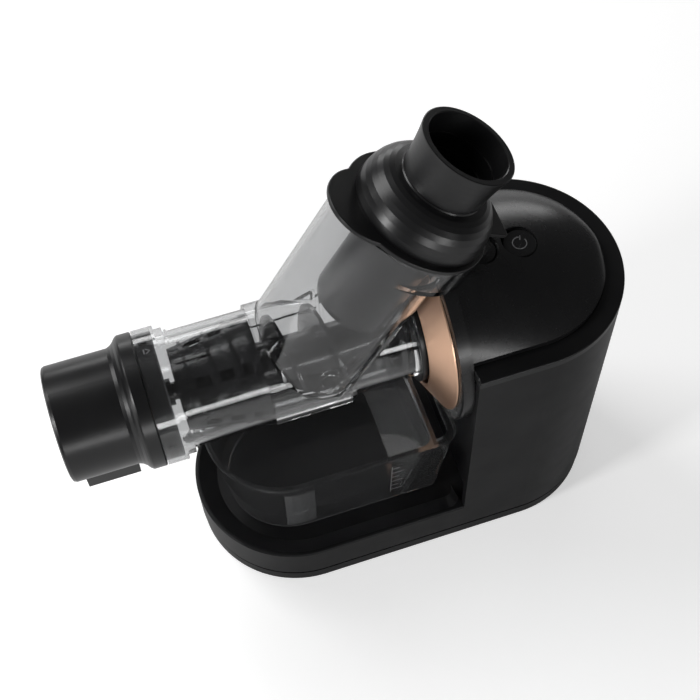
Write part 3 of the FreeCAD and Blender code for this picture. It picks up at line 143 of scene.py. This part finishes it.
def metal(name, dark, light, rough, stretch=None, scale=900.0, strength=0.12):
    """Satin metal with a fine grain, or lines where the grain is stretched."""
    s = Shader(name)
    lines = s.noise(scale, 3.0, stretch)
    s.colour(s.noise(40.0, 2.0), dark, light)
    s.roughness(lines, *rough)
    s.bump([(lines, strength)], 0.00005)
    s.set(Metallic=1.0)
    return s.mat


def clear(name, tint, rough, light_through, haze=0.0):
    """Clear moulded plastic that lets lamp light through to what is inside.

    haze is the share of the surface that scatters light."""
    s = Shader(name)
    s.set(Transmission_Weight=1.0 - haze, IOR=CLEAR_IOR, Specular_IOR_Level=0.2)
    s.roughness(s.noise(140.0, 5.0), *rough)
    s.bump([(s.noise(30.0, 2.0), 0.035)], 0.0004)
    s.colour(s.noise(22.0, 2.0), tint, tuple(min(1.0, c * 1.03) for c in tint))
    through = s.node("BsdfTransparent")
    through.inputs["Color"].default_value = (*light_through, 1)
    path = s.node("LightPath")
    mix = s.node("MixShader")
    s.link(path.outputs["Is Shadow Ray"], mix.inputs["Fac"])
    s.link(s.main.outputs["BSDF"], mix.inputs[1])
    s.link(through.outputs["BSDF"], mix.inputs[2])
    s.link(mix.outputs["Shader"], s.out.inputs["Surface"])
    return s.mat


def plain(name, colour, rough, scale=300.0, strength=0.1):
    """Rubber, silicone, acetal, board or print: one shade with a fine grain."""
    s = Shader(name)
    dark = tuple(c * 0.85 for c in colour)
    s.colour(s.noise(60.0, 3.0), dark, colour)
    s.roughness(s.noise(scale / 3, 3.0), rough * 0.85, min(1.0, rough * 1.15))
    s.bump([(s.noise(scale, 3.0), strength)])
    return s.mat


BLACK = (0.006, 0.006, 0.0065)
SOFT_BLACK = (0.009, 0.009, 0.0095)
MATERIALS = {
    "shell": moulded("shell_black", BLACK, SOFT_BLACK, (0.38, 0.42), specular=0.14),
    "rim": moulded("rim_black", BLACK, SOFT_BLACK, (0.30, 0.35), specular=0.26),
    "dome": moulded("dome_black", BLACK, SOFT_BLACK, (0.25, 0.29), grain=0.03, specular=0.42),
    "satin": moulded("satin_black", BLACK, SOFT_BLACK, (0.28, 0.33), specular=0.42),
    "gloss": moulded("gloss_black", BLACK, SOFT_BLACK, (0.09, 0.13), grain=0.02, specular=0.3),
    "copper": metal("copper_satin", (0.82, 0.52, 0.36), (0.88, 0.57, 0.40), (0.32, 0.38)),
    "clear": clear("chamber_clear", (0.84, 0.845, 0.85), (0.02, 0.05), (0.8, 0.805, 0.81)),
    "smoke": clear("container_smoke", (0.42, 0.425, 0.43), (0.03, 0.07), (0.3, 0.305, 0.31),
                   haze=0.03),
    "frost": clear("container_frost", (0.42, 0.425, 0.43), (0.10, 0.16), (0.4, 0.405, 0.41),
                   haze=0.12),
    "inner": moulded("inner_black", BLACK, SOFT_BLACK, (0.2, 0.27), grain=0.03, specular=0.42),
    "grey": moulded("grey_plastic", (0.045, 0.045, 0.047), (0.06, 0.06, 0.062), (0.36, 0.46)),
    "rubber": plain("foot_rubber", (0.02, 0.02, 0.02), 0.75, 900.0, 0.3),
    "silicone": plain("seal_silicone", (0.05, 0.05, 0.052), 0.5, 500.0, 0.1),
    "steel": metal("screw_steel", (0.48, 0.48, 0.49), (0.56, 0.56, 0.57), (0.26, 0.36)),
    "gear": plain("gear_acetal", (0.72, 0.71, 0.67), 0.38, 400.0, 0.08),
    "winding": metal("winding_copper", (0.45, 0.2, 0.08), (0.55, 0.26, 0.1), (0.25, 0.35),
                     (1.0, 6.0, 6.0), 500.0, 0.5),
    "board": plain("board_green", (0.02, 0.12, 0.06), 0.4, 800.0, 0.1),
    "print": plain("print_grey", (0.16, 0.16, 0.165), 0.5, 1500.0, 0.05),
}
LOOKS = {
    "main_housing": "shell", "rim_trim": "rim", "top_cover": "dome", "front_bezel": "dome",
    "drip_guard": "satin", "copper_cone": "copper", "base_plate": "shell",
    "base_screws": "steel", "rubber_feet": "rubber", "cord_grommet": "rubber",
    "control_board": "board", "button_switches": "satin", "board_screws": "steel",
    "gearbox_housing": "grey", "gearbox_cover": "grey", "gearbox_screws": "steel",
    "idler_axles": "steel", "output_bearings": "steel", "shaft_seal": "silicone",
    "motor_can": "steel", "motor_end_shields": "steel", "motor_spacers": "steel",
    "motor_screws": "steel", "motor_stator": "steel", "motor_coils": "winding",
    "motor_bearings": "steel", "interlock_switch": "satin", "output_spindle": "gear",
    "second_idler_gear": "gear", "first_idler_gear": "gear", "motor_rotor": "steel",
    "motor_fan": "satin", "chamber_body": "clear", "locking_flange": "satin",
    "chamber_seal": "silicone", "cap_gasket": "silicone", "strainer": "inner", "auger": "inner",
    "auger_shaft": "steel", "pulp_cap": "satin", "pusher_grip": "satin",
    "pusher_shaft": "gloss", "juice_container": "smoke", "power_button": "dome",
    "reverse_button": "dome",
}


for node, look in LOOKS.items():
    slots = NODES[node].data.materials
    slots.clear()
    slots.append(MATERIALS[look])


# ---------------------------------------------------------------------------
# Small details: key symbols, the cap's alignment mark, the container's grip panel and scale
# ---------------------------------------------------------------------------
# How far a raised band is let into the surface under it, mm.
SUNK = -0.05
# Width and height of a printed line, mm.
LINE_WIDTH = 0.7
LINE_HEIGHT = 0.08
# The container's near wall leans out from a smaller foot; its round end starts at BEND_X.
BEND_X = -48
FOOT_Z = 42.3
FOOT_RADIUS = 49
WALL_LEAN = 6 / 77.7
# The pulp cap's collar lies round the chamber's axis.
COLLAR_X = -124
COLLAR_RADIUS = 45.2
CHAMBER_AXIS_Z = 202


def ribbon(name, path, width, height, place, look, body, closed=False):
    """A raised band along a path of (u, v) points in mm. place(u, v, lift) puts it on a surface."""
    count = len(path)
    vertices = []
    for index, (u, v) in enumerate(path):
        before = path[index - 1] if closed or index > 0 else path[index]
        after = path[(index + 1) % count] if closed or index < count - 1 else path[index]
        along = Vector((after[0] - before[0], after[1] - before[1])).normalized()
        side = Vector((-along.y, along.x)) * width / 2
        for sign, lift in ((1, SUNK), (1, height), (-1, height), (-1, SUNK)):
            spot = place(u + sign * side.x, v + sign * side.y, lift)
            vertices.append(tuple(c * MM for c in spot))
    faces = []
    for index in range(count if closed else count - 1):
        here, there = index * 4, (index + 1) % count * 4
        for corner in range(4):
            turned = (corner + 1) % 4
            faces.append((here + corner, here + turned, there + turned, there + corner))
    if not closed:
        last = (count - 1) * 4
        faces += [(3, 2, 1, 0), (last, last + 1, last + 2, last + 3)]
    mesh = bpy.data.meshes.new(name)
    mesh.from_pydata(vertices, [], faces)
    mesh.materials.append(MATERIALS[look])
    piece = bpy.data.objects.new(name, mesh)
    bpy.context.scene.collection.objects.link(piece)
    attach(piece, body)


def arc(centre, radius, start, end, steps):
    """Points along an arc, angles in degrees."""
    turns = [math.radians(start + (end - start) * step / steps) for step in range(steps + 1)]
    return [(centre[0] + radius * math.cos(a), centre[1] + radius * math.sin(a)) for a in turns]


def key_top(node):
    """Places a symbol on a key's flat top, u along +X and v along +Y from its middle."""
    low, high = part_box(node)
    middle = [(a + b) / 2 / MM for a, b in zip(low, high)]

    def place(u, v, lift):
        return middle[0] + u, middle[1] + v, high[2] / MM + lift
    return place


def container_wall(u, v, lift):
    """The container's near wall: u along +X from where its round end starts, v the height."""
    radius = FOOT_RADIUS + WALL_LEAN * (v - FOOT_Z) + lift
    if u >= 0:
        return BEND_X + u, -radius, v
    turn = -u / radius
    return BEND_X - radius * math.sin(turn), -radius * math.cos(turn), v


def cap_collar(u, v, lift):
    """The pulp cap's collar: u along +X, v round it from the top towards +Y."""
    radius = COLLAR_RADIUS + lift
    turn = v / radius
    return COLLAR_X + u, radius * math.sin(turn), CHAMBER_AXIS_Z + radius * math.cos(turn)


def printed(name, path, place, body):
    """A thin printed line on a surface."""
    ribbon(name, path, LINE_WIDTH, LINE_HEIGHT, place, "print", body)


def build_key_symbols():
    """A ring with a bar on one key, and a turned arrow on the other."""
    place = key_top("power_button")
    printed("power_symbol_ring", arc((0, 0), 4.6, 65, 385, 40), place, "power_key")
    printed("power_symbol_bar", [(1.0, 2.2), (2.3, 5.4)], place, "power_key")
    place = key_top("reverse_button")
    printed("reverse_symbol_arc", arc((0, 0), 4.2, 100, 380, 32), place, "reverse_key")
    head = [(-2.4, 5.6), (-0.6, 4.1), (-2.0, 2.3)]
    printed("reverse_symbol_head", head, place, "reverse_key")


def build_cap_marks():
    """A bar and an arrow that show which way the cap turns on."""
    printed("cap_mark_bar", [(-2.6, 5), (-2.6, 9)], cap_collar, "cap")
    printed("cap_mark_arrow", [(-1.4, 5), (1.2, 7), (-1.4, 9)], cap_collar, "cap")


def build_container_panel():
    """The frosted grip panel with its U-shaped rib, and a scale without numbers."""
    panel_left, panel_length, panel_middle, panel_height = -14, 22, 78, 58
    panel = [(panel_left + panel_length * step / 12, panel_middle) for step in range(13)]
    ribbon("grip_panel", panel, panel_height, 0.5, container_wall, "frost", "container")
    notch = [(-9, 106)] + arc((-3, 76), 6, 180, 360, 16) + [(3, 106)]
    ribbon("grip_panel_rib", notch, 1.2, 1.1, container_wall, "frost", "container")
    scale_left, scale_foot, scale_step = 66, 60, 8
    for step in range(6):
        length = 9 if step % 2 == 0 else 6
        height = scale_foot + step * scale_step
        mark = [(scale_left, height), (scale_left + length, height)]
        ribbon(f"scale_mark_{step}", mark, 0.6, 0.1, container_wall, "print", "container")
    upright = [(scale_left, 56), (scale_left, 104)]
    ribbon("scale_line", upright, 0.5, 0.1, container_wall, "print", "container")


build_key_symbols()
build_cap_marks()
build_container_panel()


# ---------------------------------------------------------------------------
# Floor, light and camera
# ---------------------------------------------------------------------------
FLOOR_HALF = 6.0
FLOOR_LIFT = 0.45
LIGHT_AIM = (0, 0, 0.15)
ROOM_LIGHT = 0.1
ROOM_SEEN = 1.0
# Camera: where it stands, its turn from -Y, its lift above the floor and its roll, in radians.
CAMERA_PLACE = (-0.12165, -0.43476, 0.941073)
CAMERA_TURN = -0.285
CAMERA_LIFT = 1.029
CAMERA_ROLL = -0.04
CAMERA_LENS = 66.857


def build_floor():
    """A white floor, a little brighter where the camera sees it directly."""
    mesh = bpy.data.meshes.new("floor")
    corners = [(x * FLOOR_HALF, y * FLOOR_HALF, 0) for x, y in ((-1, -1), (1, -1), (1, 1), (-1, 1))]
    mesh.from_pydata(corners, [], [(0, 1, 2, 3)])
    floor = bpy.data.objects.new("floor", mesh)
    bpy.context.scene.collection.objects.link(floor)
    s = Shader("floor_white")
    s.set(Base_Color=(0.8, 0.8, 0.8, 1), Roughness=0.7, Specular_IOR_Level=0.2,
          Emission_Color=(1, 1, 1, 1))
    lift = s.node("Math", operation="MULTIPLY")
    lift.inputs[1].default_value = FLOOR_LIFT
    s.link(s.node("LightPath").outputs["Is Camera Ray"], lift.inputs[0])
    s.link(lift.outputs["Value"], s.main.inputs["Emission Strength"])
    s.bump([(s.noise(90.0, 3.0), 0.02)], 0.001)
    mesh.materials.append(s.mat)


def area_light(name, spot, size, power):
    """A soft box at spot, turned to the middle of the object."""
    data = bpy.data.lights.new(name, "AREA")
    data.shape = "RECTANGLE"
    data.size, data.size_y = size
    data.energy = power
    light = bpy.data.objects.new(name, data)
    bpy.context.scene.collection.objects.link(light)
    direction = Vector(LIGHT_AIM) - Vector(spot)
    light.rotation_euler = direction.to_track_quat("-Z", "Y").to_euler()
    light.location = spot


def build_lights():
    """A dim room with soft boxes; where it is seen directly, the room is white."""
    world = bpy.data.worlds.new("studio")
    world.use_nodes = True
    background = world.node_tree.nodes["Background"]
    background.inputs["Color"].default_value = (1, 1, 1, 1)
    seen = world.node_tree.nodes.new("ShaderNodeMath")
    seen.operation = "MULTIPLY_ADD"
    seen.inputs[1].default_value = ROOM_SEEN - ROOM_LIGHT
    seen.inputs[2].default_value = ROOM_LIGHT
    path = world.node_tree.nodes.new("ShaderNodeLightPath")
    world.node_tree.links.new(path.outputs["Is Camera Ray"], seen.inputs[0])
    world.node_tree.links.new(seen.outputs["Value"], background.inputs["Strength"])
    bpy.context.scene.world = world
    area_light("key", (-1.1, 1.2, 1.8), (1.3, 1.3), 30.0)
    area_light("left", (-1.7, -0.4, 0.9), (0.3, 0.8), 17.0)
    area_light("front", (0.3, -1.7, 0.5), (1.6, 0.3), 12.0)
    area_light("back", (0.5, 1.7, 0.5), (1.8, 0.4), 8.0)
    bpy.context.scene.view_settings.view_transform = "Standard"


def build_camera():
    """The camera, from its place and three angles."""
    data = bpy.data.cameras.new("camera")
    data.sensor_width = 36.0
    data.lens = CAMERA_LENS
    data.clip_start = 0.01
    camera = bpy.data.objects.new("camera", data)
    bpy.context.scene.collection.objects.link(camera)
    turn, lift, roll = CAMERA_TURN, CAMERA_LIFT, CAMERA_ROLL
    back = Vector((math.sin(turn) * math.cos(lift), -math.cos(turn) * math.cos(lift),
                   math.sin(lift)))
    right = (-back).cross(Vector((0, 0, 1))).normalized()
    up = right.cross(-back)
    tilted_right = right * math.cos(roll) + up * math.sin(roll)
    tilted_up = up * math.cos(roll) - right * math.sin(roll)
    matrix = Matrix((tilted_right, tilted_up, back)).transposed().to_4x4()
    matrix.translation = Vector(CAMERA_PLACE)
    camera.matrix_world = matrix
    bpy.context.scene.camera = camera


build_floor()
build_lights()
build_camera()
